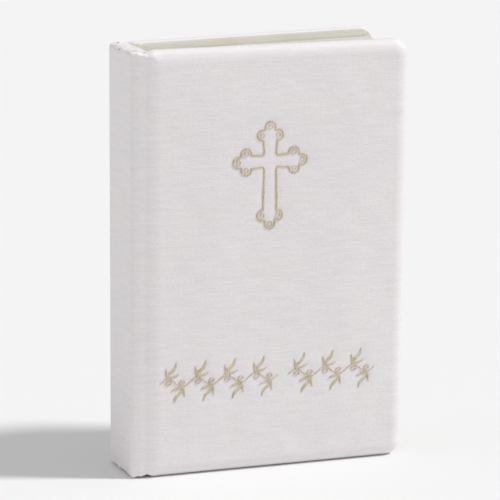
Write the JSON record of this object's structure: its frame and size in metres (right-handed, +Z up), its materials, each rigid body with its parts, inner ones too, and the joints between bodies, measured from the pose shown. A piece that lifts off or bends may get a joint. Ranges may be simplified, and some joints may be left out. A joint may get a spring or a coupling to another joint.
{
  "type": "prayer book",
  "caption": "Small case-bound prayer book in padded white silk covers with an outlined budded cross and scrollwork in gold thread; covers and leaves open on the spine.",
  "frame": {"origin": "middle of the footprint, on the surface that the book stands on, with the front cover ajar as at rest", "axes": "+Z up from the tail to the head, +X from the spine to the fore-edge, the front cover faces -Y"},
  "size_m": [0.105, 0.036, 0.1588],
  "materials": {
    "white_silk": "satin",
    "embroidery_thread": "satin",
    "band_cloth": "satin",
    "sewing_thread": "matte",
    "mull_cloth": "matte",
    "wadding": "matte",
    "grey_board": "matte",
    "kraft_paper": "matte",
    "page_paper": "matte",
    "endpaper": "matte"
  },
  "bodies": {
    "spine": {"spine_board": "grey_board", "spine_silk": "white_silk", "spine_kraft_lining": "kraft_paper", "spine_mull": "mull_cloth", "headband": "band_cloth", "tailband": "band_cloth", "sewing_thread": "sewing_thread", "section_backs": "page_paper"},
    "front_cover": {"front_board": "grey_board", "front_padding": "wadding", "front_silk": "white_silk", "front_mull_flap": "mull_cloth", "front_pastedown": "endpaper", "cross_embroidery": "embroidery_thread", "scroll_embroidery": "embroidery_thread"},
    "back_cover": {"back_board": "grey_board", "back_padding": "wadding", "back_silk": "white_silk", "back_mull_flap": "mull_cloth", "back_pastedown": "endpaper"},
    "front_flyleaf": {"front_flyleaf": "endpaper"},
    "back_flyleaf": {"back_flyleaf": "endpaper"},
    "section_01": {"section_01": "page_paper"},
    "section_02": {"section_02": "page_paper"},
    "section_03": {"section_03": "page_paper"},
    "section_04": {"section_04": "page_paper"},
    "section_05": {"section_05": "page_paper"},
    "section_06": {"section_06": "page_paper"},
    "section_07": {"section_07": "page_paper"},
    "section_08": {"section_08": "page_paper"},
    "section_09": {"section_09": "page_paper"},
    "section_10": {"section_10": "page_paper"}
  },
  "joints": [
    {"name": "front_cover_hinge", "type": "hinge", "parent": "spine", "child": "front_cover", "pos_m": [-0.04775, -0.00775, 0], "axis": [0, 0, -1], "range_deg": [-6, 164]},
    {"name": "back_cover_hinge", "type": "hinge", "parent": "spine", "child": "back_cover", "pos_m": [-0.04775, 0.01795, 0], "axis": [0, 0, 1], "range_deg": [0, 170]},
    {"name": "front_flyleaf_turn", "type": "hinge", "parent": "spine", "child": "front_flyleaf", "pos_m": [-0.04555, -0.00205, 0], "axis": [0, 0, -1], "range_deg": [-3.48, 95.12]},
    {"name": "back_flyleaf_turn", "type": "hinge", "parent": "spine", "child": "back_flyleaf", "pos_m": [-0.04555, 0.01225, 0], "axis": [0, 0, 1], "range_deg": [0, 98.6]},
    {"name": "section_01_turn", "type": "hinge", "parent": "spine", "child": "section_01", "pos_m": [-0.04555, -0.00205, 0], "axis": [0, 0, -1], "range_deg": [-2.7, 73.8]},
    {"name": "section_02_turn", "type": "hinge", "parent": "spine", "child": "section_02", "pos_m": [-0.04555, -0.00205, 0], "axis": [0, 0, -1], "range_deg": [-2.16, 59.04]},
    {"name": "section_03_turn", "type": "hinge", "parent": "spine", "child": "section_03", "pos_m": [-0.04555, -0.00205, 0], "axis": [0, 0, -1], "range_deg": [-1.62, 44.28]},
    {"name": "section_04_turn", "type": "hinge", "parent": "spine", "child": "section_04", "pos_m": [-0.04555, -0.00205, 0], "axis": [0, 0, -1], "range_deg": [-1.08, 29.52]},
    {"name": "section_05_turn", "type": "hinge", "parent": "spine", "child": "section_05", "pos_m": [-0.04555, -0.00205, 0], "axis": [0, 0, -1], "range_deg": [-0.54, 14.76]},
    {"name": "section_06_turn", "type": "hinge", "parent": "spine", "child": "section_06", "pos_m": [-0.04555, 0.01225, 0], "axis": [0, 0, 1], "range_deg": [0, 15.3]},
    {"name": "section_07_turn", "type": "hinge", "parent": "spine", "child": "section_07", "pos_m": [-0.04555, 0.01225, 0], "axis": [0, 0, 1], "range_deg": [0, 30.6]},
    {"name": "section_08_turn", "type": "hinge", "parent": "spine", "child": "section_08", "pos_m": [-0.04555, 0.01225, 0], "axis": [0, 0, 1], "range_deg": [0, 45.91]},
    {"name": "section_09_turn", "type": "hinge", "parent": "spine", "child": "section_09", "pos_m": [-0.04555, 0.01225, 0], "axis": [0, 0, 1], "range_deg": [0, 61.2]},
    {"name": "section_10_turn", "type": "hinge", "parent": "spine", "child": "section_10", "pos_m": [-0.04555, 0.01225, 0], "axis": [0, 0, 1], "range_deg": [0, 76.5]}
  ],
  "couplings": [
    {"joint": "front_flyleaf_turn", "follows": "front_cover_hinge", "ratio": 0.58},
    {"joint": "back_flyleaf_turn", "follows": "back_cover_hinge", "ratio": 0.58},
    {"joint": "section_01_turn", "follows": "front_cover_hinge", "ratio": 0.45},
    {"joint": "section_02_turn", "follows": "front_cover_hinge", "ratio": 0.36},
    {"joint": "section_03_turn", "follows": "front_cover_hinge", "ratio": 0.27},
    {"joint": "section_04_turn", "follows": "front_cover_hinge", "ratio": 0.18},
    {"joint": "section_05_turn", "follows": "front_cover_hinge", "ratio": 0.09},
    {"joint": "section_06_turn", "follows": "back_cover_hinge", "ratio": 0.09},
    {"joint": "section_07_turn", "follows": "back_cover_hinge", "ratio": 0.18},
    {"joint": "section_08_turn", "follows": "back_cover_hinge", "ratio": 0.27},
    {"joint": "section_09_turn", "follows": "back_cover_hinge", "ratio": 0.36},
    {"joint": "section_10_turn", "follows": "back_cover_hinge", "ratio": 0.45}
  ]
}
